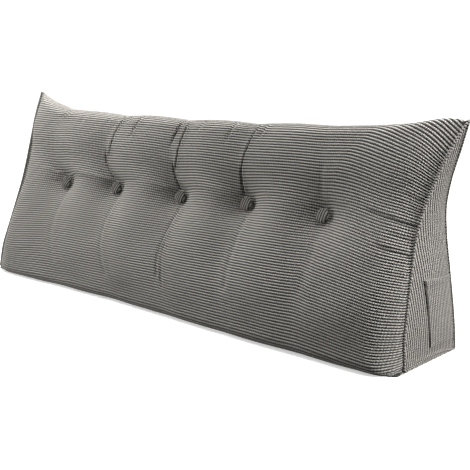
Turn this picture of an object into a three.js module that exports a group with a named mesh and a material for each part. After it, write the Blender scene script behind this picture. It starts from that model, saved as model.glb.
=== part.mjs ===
import * as THREE from 'three';

// Wedge-shaped backrest pillow standing on its base. Sizes in millimetres.
// X runs along the pillow, Y from the leaning side to the back, Z up.

// Filled cover: corners, base seam and the crown that the filling gives to each panel. The base seam
// arches up between the corners, and the end panel follows it for a short way up
const tipHeight = 498;
const tipReach = 686;
const baseSeamHeight = 5;
const baseSeamArch = 12;
const baseSeamBow = 3;
const baseSeamFade = 0.03;
const heelY = 84;
const heelRadius = 16;
const backCrown = 11;
const endCrown = 9;
const endCrownSpread = 1.1;
const endCrownStart = 0.06;

// How the covers round off into an end seam: over the face, at the toe, under the base, at the ear
const cheekLength = 72;
const toeCheekLength = 42;
const toeShare = 0.12;
const baseRoll = 24;
const earFrom = 0.7;
const earLength = 115;
const earFlatness = 0.35;

// Seams of the end panels, from the floor corner (at 0) to the top corner (at 1).
// The left-hand panel is drawn in less than the right-hand one.
const seamRows = [
  { at: 0.000, frontX: 668, frontY: -98, backX: 677, backY: 98, leftFrontX: 672, leftBackX: 677 },
  { at: 0.125, frontX: 658, frontY: -85, backX: 671, backY: 99, leftFrontX: 670, leftBackX: 675 },
  { at: 0.250, frontX: 649, frontY: -61, backX: 663, backY: 98, leftFrontX: 667, leftBackX: 672 },
  { at: 0.375, frontX: 640, frontY: -36, backX: 654, backY: 97, leftFrontX: 664, leftBackX: 668 },
  { at: 0.500, frontX: 632, frontY: -10, backX: 645, backY: 96, leftFrontX: 664, leftBackX: 665 },
  { at: 0.625, frontX: 634, frontY: 14, backX: 641, backY: 96, leftFrontX: 668, leftBackX: 665 },
  { at: 0.750, frontX: 646, frontY: 38, backX: 651, backY: 95, leftFrontX: 674, leftBackX: 669 },
  { at: 0.875, frontX: 663, frontY: 62, backX: 669, backY: 94, leftFrontX: 680, leftBackX: 677 },
  { at: 1.000, frontX: 686, frontY: 92, backX: 686, backY: 92, leftFrontX: 686, leftBackX: 686 },
];

// Sections of the filling across the pillow: the ridge along the top and the toe along the floor
const sectionRows = [
  { x: -686, ridgeY: 92, ridgeZ: 498, ridgeRadius: 0, toeY: -104, toeRadius: 6 },
  { x: -650, ridgeY: 70, ridgeZ: 492, ridgeRadius: 16, toeY: -112, toeRadius: 15 },
  { x: -590, ridgeY: 60, ridgeZ: 478, ridgeRadius: 28, toeY: -112, toeRadius: 18 },
  { x: -505, ridgeY: 57, ridgeZ: 463, ridgeRadius: 33, toeY: -110, toeRadius: 18 },
  { x: -400, ridgeY: 58, ridgeZ: 458, ridgeRadius: 34, toeY: -108, toeRadius: 18 },
  { x: -200, ridgeY: 58, ridgeZ: 459, ridgeRadius: 34, toeY: -112, toeRadius: 18 },
  { x: 0, ridgeY: 58, ridgeZ: 461, ridgeRadius: 34, toeY: -122, toeRadius: 18 },
  { x: 200, ridgeY: 58, ridgeZ: 466, ridgeRadius: 34, toeY: -130, toeRadius: 18 },
  { x: 400, ridgeY: 58, ridgeZ: 472, ridgeRadius: 34, toeY: -134, toeRadius: 18 },
  { x: 500, ridgeY: 62, ridgeZ: 478, ridgeRadius: 30, toeY: -135, toeRadius: 18 },
  { x: 580, ridgeY: 70, ridgeZ: 487, ridgeRadius: 22, toeY: -136, toeRadius: 18 },
  { x: 645, ridgeY: 80, ridgeZ: 500, ridgeRadius: 12, toeY: -137, toeRadius: 15 },
  { x: 686, ridgeY: 92, ridgeZ: 498, ridgeRadius: 0, toeY: -130, toeRadius: 6 },
];

// How far the front stands out from the flat face: a roll below the ridge, a dip along the row of
// buttons, and a full lower half
const frontCrownRows = [
  { at: 0.00, rise: 0 },
  { at: 0.06, rise: 4 },
  { at: 0.15, rise: 11 },
  { at: 0.22, rise: 14 },
  { at: 0.30, rise: 13 },
  { at: 0.38, rise: 9 },
  { at: 0.44, rise: 4 },
  { at: 0.50, rise: -2 },
  { at: 0.55, rise: -5.5 },
  { at: 0.61, rise: -7 },
  { at: 0.68, rise: -6 },
  { at: 0.72, rise: -4 },
  { at: 0.77, rise: 1 },
  { at: 0.82, rise: 4.5 },
  { at: 0.88, rise: 5.5 },
  { at: 0.93, rise: 3.5 },
  { at: 1.00, rise: 0 },
];

// Tufts. Each column of cloth is drawn in at its button, and the crease it makes leans sideways
const tuftRows = [
  { x: -491, at: 0.578, leanUp: -56, leanTop: -25, leanDown: 80, foldUp: 14, foldTop: 3, foldDown: 20 },
  { x: -296, at: 0.596, leanUp: -50, leanTop: 8, leanDown: 95, foldUp: 21, foldTop: 6, foldDown: 27 },
  { x: -56, at: 0.601, leanUp: -34, leanTop: -8, leanDown: 67, foldUp: 22, foldTop: 6, foldDown: 29 },
  { x: 163, at: 0.615, leanUp: -30, leanTop: -4, leanDown: 45, foldUp: 21, foldTop: 6, foldDown: 27 },
  { x: 391, at: 0.603, leanUp: -16, leanTop: -8, leanDown: 25, foldUp: 14, foldTop: 2, foldDown: 20 },
];
const seatRadius = 23;
const cupDepth = 26;
const cupReach = 40;
const cupNarrowing = 0.8;
const valleyHalfWidth = 112;
const sharpFold = 4;
const softFold = 18;
const foldBlend = 80;
const creaseFadeUp = 200;
const creaseFadeDown = 340;
const creaseOverBack = 60;
const leanReach = 26;
const leanTurnsAt = 70;
const leanTurnLength = 120;
const leanDownLength = 240;
const slopeLength = 540;

// Covered buttons: radius and height round a domed profile, from the back to the crown
const buttonProfile = [
  { radius: 13.0, height: 0.0 },
  { radius: 16.4, height: 1.5 },
  { radius: 17.6, height: 3.7 },
  { radius: 16.6, height: 5.9 },
  { radius: 13.2, height: 7.8 },
  { radius: 7.6, height: 8.9 },
];
const buttonCrown = 9.3;
const buttonSides = 28;
const buttonGap = 0.9;
const seatStep = 0.02;

// Patch pocket on the right-hand end panel
const pocket = {
  frontTopY: -7, frontFootY: -4, backInset: 4, footZ: 32, topZ: 174, topFall: 5, thick: 2, gap: 0.6,
};
const pocketAcross = 12;
const pocketUp = 14;

// Grid of the cover's surface
const frontSteps = [
  0, 0.018, 0.036, 0.058, 0.09, 0.145, 0.21, 0.27, 0.33, 0.39, 0.445, 0.49, 0.527, 0.555, 0.575,
  0.591, 0.607, 0.623, 0.642, 0.672, 0.72, 0.775, 0.835, 0.89, 0.93, 0.958, 0.98, 1,
];
const baseAcross = 8;
const columnPlan = [
  { stop: 0, steps: 15, crowd: 0.72 },
  { stop: 1, steps: 14, crowd: 0.5 },
  { stop: 2, steps: 14, crowd: 0.5 },
  { stop: 3, steps: 14, crowd: 0.5 },
  { stop: 4, steps: 14, crowd: 0.5 },
  { stop: 5, steps: 17, crowd: 0.75 },
];

const cloth = new THREE.MeshStandardMaterial({ color: 0x8c8984, roughness: 0.95, metalness: 0 });
const buttonCloth = new THREE.MeshStandardMaterial({ color: 0x7d7a76, roughness: 0.95, metalness: 0 });
const pocketCloth = new THREE.MeshStandardMaterial({ color: 0x95928d, roughness: 0.95, metalness: 0 });

const { abs, asin, atan2, cos, exp, hypot, max, min, PI, sin, sqrt } = Math;

const mix = (a, b, t) => a + (b - a) * t;

const clamp01 = (t) => min(1, max(0, t));

const smooth = (t) => clamp01(t) ** 2 * (3 - 2 * clamp01(t));

// Smooth curve through one column of a table, with the slope at a row taken from its neighbours
function readRow(rows, key, name, value) {
  const last = rows.length - 1;
  let i = 0;
  while (i < last - 1 && value > rows[i + 1][key]) i += 1;
  const slopeAt = (k) => {
    const low = rows[max(0, k - 1)];
    const high = rows[min(last, k + 1)];
    return (high[name] - low[name]) / (high[key] - low[key]);
  };
  const span = rows[i + 1][key] - rows[i][key];
  const t = clamp01((value - rows[i][key]) / span);
  const bend = t * t * (3 - 2 * t);
  const startPull = slopeAt(i) * span * t * (1 - t) ** 2;
  const endPull = slopeAt(i + 1) * span * t * t * (1 - t);
  return mix(rows[i][name], rows[i + 1][name], bend) + startPull - endPull;
}

const seamAt = (t, name) => readRow(seamRows, 'at', name, t);

// Distance from the middle of the pillow to an end seam, from the front seam (along 0) to the back one
const seamReach = (t, side, along) => (side < 0
  ? mix(seamAt(t, 'leftFrontX'), seamAt(t, 'leftBackX'), along)
  : mix(seamAt(t, 'frontX'), seamAt(t, 'backX'), along));

const seamHeight = (t) => mix(baseSeamHeight, tipHeight, t);

// Half of the section from floor contact over a corner arc, up a straight face and round the ridge.
// The face leans by the common tangent of the two arcs. Returns the point and its outward normal.
function facePoint(footY, footRadius, ridgeY, ridgeZ, ridgeRadius, side, t) {
  const rise = ridgeZ - ridgeRadius - footRadius;
  const run = (ridgeY - footY) * side;
  const reach = hypot(rise, run);
  const lean = atan2(-run, rise) + asin((footRadius - ridgeRadius) / reach);
  const faceLength = sqrt(reach ** 2 - (footRadius - ridgeRadius) ** 2);
  const footTurn = PI / 2 + lean;
  const ridgeTurn = PI / 2 - lean;
  const footArc = footRadius * footTurn;
  const total = footArc + faceLength + ridgeRadius * ridgeTurn;
  const walked = t * total;
  if (walked <= footArc) {
    const turn = footRadius > 0 ? -PI / 2 + walked / footRadius : lean;
    return {
      y: footY + side * footRadius * cos(turn),
      z: footRadius + footRadius * sin(turn),
      normalY: side * cos(turn),
      normalZ: sin(turn),
    };
  }
  if (walked <= footArc + faceLength) {
    const along = walked - footArc;
    return {
      y: footY + side * (footRadius * cos(lean) - along * sin(lean)),
      z: footRadius + footRadius * sin(lean) + along * cos(lean),
      normalY: side * cos(lean),
      normalZ: sin(lean),
    };
  }
  const turn = ridgeRadius > 0 ? lean + (walked - footArc - faceLength) / ridgeRadius : lean;
  return {
    y: ridgeY + side * ridgeRadius * cos(turn),
    z: ridgeZ - ridgeRadius + ridgeRadius * sin(turn),
    normalY: side * cos(turn),
    normalZ: sin(turn),
  };
}

// Sideways lean of a tuft's crease at a distance above (+) or below (-) its button
function creaseLean(tuft, up) {
  const clear = max(0, abs(up) - seatRadius);
  if (up < 0) return tuft.leanDown * min(1.1, clear / leanDownLength) ** 3;
  const bow = tuft.leanUp * (1 - exp(-clear / leanReach));
  return mix(bow, tuft.leanTop, smooth((clear - leanTurnsAt) / leanTurnLength));
}

// Depth of cloth drawn in by the tufts
function tuftDepth(x, t) {
  let depth = 0;
  for (const tuft of tuftRows) {
    const up = (t - tuft.at) * slopeLength;
    const aside = x - tuft.x - creaseLean(tuft, up);
    const away = hypot(aside, up);
    const outside = away > 0 ? max(0, away - seatRadius) / away : 0;
    const across = aside * outside;
    const along = up * outside;
    const upward = mix(tuft.foldUp, tuft.foldTop, smooth(along / creaseFadeUp));
    const downward = tuft.foldDown * (1 - smooth(-along / creaseFadeDown));
    const level = mix(downward, upward, smooth(0.5 + 2 * along / foldBlend));
    const cup = cupDepth * exp(-hypot(across * cupNarrowing, along) / cupReach);
    const fold = mix(softFold, sharpFold, smooth(0.5 + along / foldBlend));
    const wall = (1 - min(1, (hypot(across, fold) - fold) / valleyHalfWidth)) ** 2;
    depth += level * wall + cup;
  }
  return depth;
}

// Share of the full crown that the filling reaches at a distance from the end seam
function cheek(distance, t) {
  const length = mix(toeCheekLength, cheekLength, smooth(t / toeShare));
  const round = sqrt(1 - (1 - min(1, distance / length)) ** 2);
  const flat = smooth(distance / earLength);
  return mix(round, flat, earFlatness * smooth((t - earFrom) / (1 - earFrom)));
}

// Point on the front or back cover. Across goes from -1 to 1, t from the floor to the ridge
function coverPoint(across, t, isFront) {
  const side = isFront ? -1 : 1;
  const seamX = seamReach(t, across < 0 ? -1 : 1, isFront ? 0 : 1);
  const seamY = seamAt(t, isFront ? 'frontY' : 'backY');
  const seamZ = seamHeight(t);
  const x = across * seamX + (isFront ? leanAt(across, t) : 0);
  const at = (name) => readRow(sectionRows, 'x', name, across * tipReach);
  const foot = isFront ? at('toeY') : heelY;
  const footRadius = isFront ? at('toeRadius') : heelRadius;
  const face = facePoint(foot, footRadius, at('ridgeY'), at('ridgeZ'), at('ridgeRadius'), side, t);
  const crown = isFront ? readRow(frontCrownRows, 'at', 'rise', t) : backCrown * sin(PI * t);
  const overBack = (1 - t) * slopeLength;
  const drawn = isFront ? tuftDepth(x, t) : tuftDepth(x, 1) * exp(-overBack / creaseOverBack);
  const fullness = cheek((1 - abs(across)) * seamX, t);
  const y = face.y + face.normalY * (crown - drawn);
  const z = max(0, face.z + face.normalZ * (crown - drawn));
  return new THREE.Vector3(x, mix(seamY, y, fullness), mix(seamZ, z, fullness));
}

// Buttons and end seams as shares of the half length
const stops = [-1, ...tuftRows.map((tuft) => tuft.x / seamReach(tuft.at, tuft.x < 0 ? -1 : 1, 0)), 1];

// Sideways shift of a grid column, so that the columns nearest a button follow its crease
function leanAt(across, t) {
  const leans = [0, ...tuftRows.map((tuft) => creaseLean(tuft, (t - tuft.at) * slopeLength)), 0];
  let i = 0;
  while (i < stops.length - 2 && across > stops[i + 1]) i += 1;
  return mix(leans[i], leans[i + 1], clamp01((across - stops[i]) / (stops[i + 1] - stops[i])));
}

// Grid columns between the end seams, crowded towards the buttons and the seams
function columnStations() {
  const stations = [-1];
  for (const { stop, steps, crowd } of columnPlan) {
    for (let k = 1; k <= steps; k += 1) {
      const t = k / steps;
      stations.push(mix(stops[stop], stops[stop + 1], t - crowd * sin(2 * PI * t) / (2 * PI)));
    }
  }
  return stations;
}

// Point on an end panel. Along goes from the front seam to the back seam
function endPoint(side, t, along) {
  const x = seamReach(t, side, along);
  const y = mix(seamAt(t, 'frontY'), seamAt(t, 'backY'), along);
  const swell = endCrown * sin(PI * along) * sin(PI * min(1, t * endCrownSpread + endCrownStart));
  const arch = max(0, 1 - t / baseSeamFade);
  const bow = baseSeamBow * sin(PI * along);
  return new THREE.Vector3(
    side * (x + mix(swell, bow, arch)),
    y,
    seamHeight(t) + arch * baseSeamArch * sin(PI * along),
  );
}

// Point on the base panel, flat on the floor and rolled up to the base seam at each end
function basePoint(across, along) {
  const heel = coverPoint(across, 0, false);
  const toe = coverPoint(across, 0, true);
  const seam = endPoint(across < 0 ? -1 : 1, 0, 1 - along);
  const inset = (1 - abs(across)) * tipReach;
  const x = mix(seam.x, mix(heel.x, toe.x, along), smooth(inset / toeCheekLength));
  const fullness = cheek(inset * toeCheekLength / baseRoll, 0);
  return new THREE.Vector3(x, mix(heel.y, toe.y, along), mix(seam.z, 0, fullness));
}

function closedMesh(name, vertices, faces, material) {
  const geometry = new THREE.BufferGeometry();
  const positions = vertices.flatMap((vertex) => vertex.toArray());
  geometry.setAttribute('position', new THREE.Float32BufferAttribute(positions, 3));
  geometry.setIndex(faces.flat());
  geometry.computeVertexNormals();
  const mesh = new THREE.Mesh(geometry, material);
  mesh.name = name;
  return mesh;
}

const quad = (a, b, c, d) => [[a, b, c], [a, c, d]];

function buildBody() {
  const vertices = [];
  const faces = [];
  const put = (point) => vertices.push(point) - 1;
  const last = frontSteps.length - 1;
  const loops = columnStations().map((across) => {
    const front = frontSteps.map((t) => put(coverPoint(across, t, true)));
    const back = frontSteps.slice(0, last).map((t) => put(coverPoint(across, t, false)));
    const base = [];
    for (let k = 1; k < baseAcross; k += 1) base.push(put(basePoint(across, k / baseAcross)));
    return { front, back: [...back, front[last]], base };
  });
  const around = ({ front, back, base }) => [...front, ...back.slice(0, last).reverse(), ...base];
  for (let j = 0; j + 1 < loops.length; j += 1) {
    const here = around(loops[j]);
    const next = around(loops[j + 1]);
    here.forEach((_, i) => {
      const k = (i + 1) % here.length;
      faces.push(...quad(here[i], next[i], next[k], here[k]));
    });
  }
  for (const side of [-1, 1]) {
    const { front, back, base } = loops[side < 0 ? 0 : loops.length - 1];
    const rows = frontSteps.map((t, i) => {
      const inner = [];
      for (let k = 1; k < baseAcross; k += 1) {
        inner.push(i === 0 ? base[baseAcross - 1 - k] : put(endPoint(side, t, k / baseAcross)));
      }
      return [front[i], ...inner, back[i]];
    });
    for (let i = 0; i < last; i += 1) {
      for (let k = 0; k < baseAcross; k += 1) {
        const [a, b] = [rows[i][k], rows[i][k + 1]];
        const pair = i + 1 === last ? [[a, b, front[last]]] : quad(a, b, rows[i + 1][k + 1], rows[i + 1][k]);
        faces.push(...pair.map((face) => (side < 0 ? [...face].reverse() : face)));
      }
    }
  }
  return closedMesh('pillow_body', vertices, faces, cloth);
}

// Button seat: point on the cover under a button, and the cover's outward direction there
function buttonSeat(tuft, across) {
  const centre = coverPoint(across, tuft.at, true);
  const topmost = coverPoint(across, tuft.at + seatStep, true);
  const upward = topmost.sub(coverPoint(across, tuft.at - seatStep, true));
  const rightmost = coverPoint(across + seatStep, tuft.at, true);
  const aside = rightmost.sub(coverPoint(across - seatStep, tuft.at, true));
  return { centre, normal: aside.cross(upward).normalize() };
}

function buildButton(tuft, across, name) {
  const { centre, normal } = buttonSeat(tuft, across);
  const turn = new THREE.Quaternion().setFromUnitVectors(new THREE.Vector3(0, 0, 1), normal);
  const place = (x, y, z) => new THREE.Vector3(x, y, z + buttonGap).applyQuaternion(turn).add(centre);
  const vertices = [place(0, 0, 0)];
  const faces = [];
  for (const { radius, height } of buttonProfile) {
    for (let k = 0; k < buttonSides; k += 1) {
      const angle = 2 * PI * k / buttonSides;
      vertices.push(place(radius * cos(angle), radius * sin(angle), height));
    }
  }
  vertices.push(place(0, 0, buttonCrown));
  const ringAt = (ring, k) => 1 + ring * buttonSides + (k % buttonSides);
  const lastRing = buttonProfile.length - 1;
  for (let k = 0; k < buttonSides; k += 1) {
    faces.push([0, ringAt(0, k + 1), ringAt(0, k)]);
    for (let ring = 0; ring < lastRing; ring += 1) {
      const above = ring + 1;
      faces.push(...quad(ringAt(ring, k), ringAt(ring, k + 1), ringAt(above, k + 1), ringAt(above, k)));
    }
    faces.push([vertices.length - 1, ringAt(lastRing, k), ringAt(lastRing, k + 1)]);
  }
  return closedMesh(name, vertices, faces, buttonCloth);
}

// Pocket: a doubled cloth patch that follows the end panel at a small gap
function buildPocket() {
  const vertices = [];
  const faces = [];
  const sheet = (offset) => {
    for (let i = 0; i <= pocketUp; i += 1) {
      const rise = i / pocketUp;
      const startY = mix(pocket.frontFootY, pocket.frontTopY, rise);
      for (let k = 0; k <= pocketAcross; k += 1) {
        const topZ = pocket.topZ - pocket.topFall * k / pocketAcross;
        const z = mix(pocket.footZ, topZ, rise);
        const t = (z - baseSeamHeight) / (tipHeight - baseSeamHeight);
        const frontY = seamAt(t, 'frontY');
        const backY = seamAt(t, 'backY');
        const y = mix(startY, backY - pocket.backInset, k / pocketAcross);
        const point = endPoint(1, t, (y - frontY) / (backY - frontY));
        vertices.push(new THREE.Vector3(point.x + offset, y, z));
      }
    }
  };
  sheet(pocket.gap);
  sheet(pocket.gap + pocket.thick);
  const wide = pocketAcross + 1;
  const layer = wide * (pocketUp + 1);
  const id = (i, k, level) => level * layer + i * wide + k;
  for (let i = 0; i < pocketUp; i += 1) {
    for (let k = 0; k < pocketAcross; k += 1) {
      faces.push(...quad(id(i, k, 1), id(i, k + 1, 1), id(i + 1, k + 1, 1), id(i + 1, k, 1)));
      faces.push(...quad(id(i, k, 0), id(i + 1, k, 0), id(i + 1, k + 1, 0), id(i, k + 1, 0)));
    }
  }
  const top = pocketUp;
  const side = pocketAcross;
  for (let k = 0; k < side; k += 1) {
    faces.push(...quad(id(0, k, 0), id(0, k + 1, 0), id(0, k + 1, 1), id(0, k, 1)));
    faces.push(...quad(id(top, k, 1), id(top, k + 1, 1), id(top, k + 1, 0), id(top, k, 0)));
  }
  for (let i = 0; i < top; i += 1) {
    faces.push(...quad(id(i, 0, 1), id(i + 1, 0, 1), id(i + 1, 0, 0), id(i, 0, 0)));
    faces.push(...quad(id(i, side, 0), id(i + 1, side, 0), id(i + 1, side, 1), id(i, side, 1)));
  }
  return closedMesh('side_pocket', vertices, faces, pocketCloth);
}

const part = new THREE.Group();
part.name = 'backrest_pillow';
part.add(buildBody());
tuftRows.forEach((tuft, i) => part.add(buildButton(tuft, stops[i + 1], `button_${i + 1}`)));
part.add(buildPocket());

// Moved so that the middle of the whole pillow's bounds is on the vertical axis
const bounds = new THREE.Box3().setFromObject(part);
const middle = bounds.getCenter(new THREE.Vector3());
part.children.forEach((mesh) => mesh.geometry.translate(-middle.x, -middle.y, 0));

export default part;
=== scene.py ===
import math

import bpy
import numpy as np
from mathutils import Matrix, Vector


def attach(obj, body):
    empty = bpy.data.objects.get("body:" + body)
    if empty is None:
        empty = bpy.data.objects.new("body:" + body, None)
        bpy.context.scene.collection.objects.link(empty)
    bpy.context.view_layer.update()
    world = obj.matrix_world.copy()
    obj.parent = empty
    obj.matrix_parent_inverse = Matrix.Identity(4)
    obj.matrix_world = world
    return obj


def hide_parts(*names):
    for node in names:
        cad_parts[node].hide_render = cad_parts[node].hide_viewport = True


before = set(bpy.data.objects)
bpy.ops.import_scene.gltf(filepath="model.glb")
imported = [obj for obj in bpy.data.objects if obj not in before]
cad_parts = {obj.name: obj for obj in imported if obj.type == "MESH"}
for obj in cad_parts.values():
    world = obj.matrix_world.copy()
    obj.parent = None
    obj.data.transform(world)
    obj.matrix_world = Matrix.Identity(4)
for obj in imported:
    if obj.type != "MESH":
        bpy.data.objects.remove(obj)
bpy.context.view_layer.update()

# Backrest pillow: a filled, ribbed cover with five tuft buttons and a patch pocket on one end.
# The shape functions work in millimetres, and a mesh is made in metres.

mm = 0.001
pi = math.pi


def mix(a, b, t):
    return a + (b - a) * t


def smooth(t):
    t = np.clip(t, 0.0, 1.0)
    return t * t * (3 - 2 * t)


# Smooth curve through one column of a table: a cubic between two rows, with the slope at a row
# taken from its neighbours
def readRow(rows, key, name, value):
    keys = np.array(rows[key], float)
    values = np.array(rows[name], float)
    order = np.arange(len(keys))
    low, high = np.maximum(order - 1, 0), np.minimum(order + 1, len(keys) - 1)
    slopes = (values[high] - values[low]) / (keys[high] - keys[low])
    value = np.asarray(value, float)
    i = np.clip(np.searchsorted(keys, value) - 1, 0, len(keys) - 2)
    span = keys[i + 1] - keys[i]
    t = np.clip((value - keys[i]) / span, 0, 1)
    startPull = slopes[i] * span * t * (1 - t) ** 2
    endPull = slopes[i + 1] * span * t * t * (1 - t)
    return mix(values[i], values[i + 1], t * t * (3 - 2 * t)) + startPull - endPull


def unit(v):
    return v / np.maximum(np.linalg.norm(v, axis=-1, keepdims=True), 1e-9)


# Slow, seedless unevenness: a sum of a few sine waves in two directions, from -1 to 1
def lumps(a, b, length, turn=0.0):
    waves = ((1.0, 0.35, 0.0), (-0.55, 1.0, 1.7), (0.8, -1.3, 4.1), (1.7, 0.6, 2.6))
    total = 0
    for k, (ka, kb, phase) in enumerate(waves):
        total = total + np.sin(2 * pi * (ka * a + kb * b) / length + phase + turn * (k + 1))
    return total / len(waves)


# Mesh from arrays: points in mm, face sets of 3 or 4 corners, and the corners' UVs in mm of cloth
def makeMesh(name, points, faceSets, uvSets=None):
    corners = np.concatenate([faces.ravel() for faces in faceSets])
    totals = np.concatenate([np.full(len(faces), faces.shape[1]) for faces in faceSets])
    starts = np.cumsum(totals) - totals
    mesh = bpy.data.meshes.new(name)
    mesh.vertices.add(len(points))
    mesh.vertices.foreach_set("co", (points * mm).astype(np.float32).ravel())
    mesh.loops.add(len(corners))
    mesh.loops.foreach_set("vertex_index", corners.astype(np.int32))
    mesh.polygons.add(len(totals))
    mesh.polygons.foreach_set("loop_start", starts.astype(np.int32))
    mesh.polygons.foreach_set("use_smooth", np.ones(len(totals), bool))
    if uvSets is not None:
        layer = mesh.uv_layers.new(name="cloth")
        uv = np.concatenate([uvs.reshape(-1, 2) for uvs in uvSets]) * mm
        layer.data.foreach_set("uv", uv.astype(np.float32).ravel())
    mesh.update(calc_edges=True)
    mesh.validate()
    piece = bpy.data.objects.new(name, mesh)
    bpy.context.scene.collection.objects.link(piece)
    return piece


# Faces of a grid of vertex numbers, one quad per cell
def gridQuads(ids):
    return np.stack([ids[:-1, :-1], ids[1:, :-1], ids[1:, 1:], ids[:-1, 1:]], -1).reshape(-1, 4)


# The same corners taken from a grid of values, such as UVs
def gridCorners(values):
    cells = [values[:-1, :-1], values[1:, :-1], values[1:, 1:], values[:-1, 1:]]
    return np.stack(cells, 2).reshape(-1, 4, values.shape[-1])


# Triangles between two closed loops of vertices, each numbered by how far round it is. Each edge of
# one loop gets a triangle to the vertex that the other loop has reached by then.
def zipLoops(idsA, aroundA, idsB, aroundB):
    orderA, orderB = np.argsort(aroundA, kind="stable"), np.argsort(aroundB, kind="stable")
    idsA, aroundA = idsA[orderA], aroundA[orderA]
    idsB, aroundB = idsB[orderB], aroundB[orderB]
    reachedB = np.searchsorted(aroundB, aroundA, side="right") - 1
    reachedA = np.searchsorted(aroundA, aroundB, side="left") - 1
    first = np.stack([np.roll(idsA, 1), idsA, idsB[reachedB]], -1)
    second = np.stack([idsB, np.roll(idsB, 1), idsA[reachedA]], -1)
    return np.concatenate([first, second])


# The cover's shape is worked out as in the part's source, from the same named sizes
cover = dict(
    tipHeight=498, tipReach=686, heelY=84, heelRadius=16,
    baseSeamHeight=5, baseSeamArch=12, baseSeamBow=3, baseSeamFade=0.03,
    backCrown=11, endCrown=9, endCrownSpread=1.1, endCrownStart=0.06,
    cheekLength=72, toeCheekLength=42, toeShare=0.12, baseRoll=24,
    earFrom=0.7, earLength=115, earFlatness=0.35,
    shiftY=25.088,         # the part is centred on its bounds
    walePitch=6.417,       # one rib of the corduroy
    frontWales=84, backWales=74, baseWales=33,
    waleRows=(0.0, 0.17, 0.5, 0.83),  # mesh rows inside one wale: the furrow, then its round back
    waleDepth=1.2,         # furrow depth, before it is scaled by how open the furrow is
    closedFurrow=0.7, openFurrow=2.0,
    columnSpacing=4.4, creaseSpacing=1.7, creaseBand=40, seamSpacing=2.0, seamBand=14,  # mesh columns
)

seams = dict(  # from the floor corner (0) to the top corner (1)
    at=[0.000, 0.125, 0.250, 0.375, 0.500, 0.625, 0.750, 0.875, 1.000],
    frontX=[668, 658, 649, 640, 632, 634, 646, 663, 686],
    frontY=[-98, -85, -61, -36, -10, 14, 38, 62, 92],
    backX=[677, 671, 663, 654, 645, 641, 651, 669, 686],
    backY=[98, 99, 98, 97, 96, 96, 95, 94, 92],
    leftFrontX=[672, 670, 667, 664, 664, 668, 674, 680, 686],
    leftBackX=[677, 675, 672, 668, 665, 665, 669, 677, 686],
)

sections = dict(
    x=[-686, -650, -590, -505, -400, -200, 0, 200, 400, 500, 580, 645, 686],
    ridgeY=[92, 70, 60, 57, 58, 58, 58, 58, 58, 62, 70, 80, 92],
    ridgeZ=[498, 492, 478, 463, 458, 459, 461, 466, 472, 478, 487, 500, 498],
    ridgeRadius=[0, 16, 28, 33, 34, 34, 34, 34, 34, 30, 22, 12, 0],
    toeY=[-104, -112, -112, -110, -108, -112, -122, -130, -134, -135, -136, -137, -130],
    toeRadius=[6, 15, 18, 18, 18, 18, 18, 18, 18, 18, 18, 15, 6],
)

frontCrown = dict(  # how far the front stands out from the flat face
    at=[0.00, 0.06, 0.15, 0.22, 0.30, 0.38, 0.44, 0.50, 0.55, 0.61, 0.68, 0.72, 0.77, 0.82, 0.88, 0.93, 1.00],
    rise=[0, 4, 11, 14, 13, 9, 4, -2, -5.5, -7, -6, -4, 1, 4.5, 5.5, 3.5, 0],
)

tufts = dict(
    x=[-491, -296, -56, 163, 391],
    at=[0.578, 0.596, 0.601, 0.615, 0.603],
    leanUp=[-56, -50, -34, -30, -16], leanTop=[-25, 8, -8, -4, -8], leanDown=[80, 95, 67, 45, 25],
    foldUp=[14, 21, 22, 21, 14], foldTop=[3, 6, 6, 6, 2], foldDown=[20, 27, 29, 27, 20],
)

tuftCount = len(tufts["x"])

tuftShape = dict(
    seatRadius=23, cupDepth=26, cupReach=40, cupNarrowing=0.8, valleyHalfWidth=112,
    sharpFold=4, softFold=18, foldBlend=80, creaseFadeUp=200, creaseFadeDown=340, creaseOverBack=60,
    leanReach=26, leanTurnsAt=70, leanTurnLength=120, leanDownLength=240, slopeLength=540,
)

frontCloth = cover["frontWales"] * cover["walePitch"]
backCloth = cover["backWales"] * cover["walePitch"]
baseCloth = cover["baseWales"] * cover["walePitch"]
girth = frontCloth + backCloth + baseCloth


def seamAt(t, name):
    return readRow(seams, "at", name, t)


# Distance from the middle to an end seam, at a share along from the front seam to the back one
def seamReach(t, side, along):
    left = mix(seamAt(t, "leftFrontX"), seamAt(t, "leftBackX"), along)
    right = mix(seamAt(t, "frontX"), seamAt(t, "backX"), along)
    return np.where(side < 0, left, right)


# Half section from the floor over a corner arc, up a straight face on the two arcs' common tangent,
# and round the ridge. t is the share of that length. Gives the point and its normal in Y and Z.
def facePoint(footY, footRadius, ridgeY, ridgeZ, ridgeRadius, side, t):
    rise = ridgeZ - ridgeRadius - footRadius
    run = (ridgeY - footY) * side
    reach = np.hypot(rise, run)
    lean = np.arctan2(-run, rise) + np.arcsin((footRadius - ridgeRadius) / reach)
    faceLength = np.sqrt(reach ** 2 - (footRadius - ridgeRadius) ** 2)
    footArc = footRadius * (pi / 2 + lean)
    total = footArc + faceLength + ridgeRadius * (pi / 2 - lean)
    walked = t * total
    onFoot, onFace = walked <= footArc, walked <= footArc + faceLength
    footTurn = -pi / 2 + walked / np.maximum(footRadius, 1e-6)
    ridgeTurn = lean + (walked - footArc - faceLength) / np.maximum(ridgeRadius, 1e-3)
    turn = np.where(onFoot, footTurn, np.where(onFace, lean, np.clip(ridgeTurn, lean, pi / 2)))
    along = np.where(onFace & ~onFoot, walked - footArc, 0)
    centreY = np.where(onFace, footY, ridgeY)
    centreZ = np.where(onFace, footRadius, ridgeZ - ridgeRadius)
    radius = np.where(onFace, footRadius, ridgeRadius)
    y = centreY + side * (radius * np.cos(turn) - along * np.sin(lean))
    z = centreZ + radius * np.sin(turn) + along * np.cos(lean)
    return y, z, side * np.cos(turn), np.sin(turn)


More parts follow.
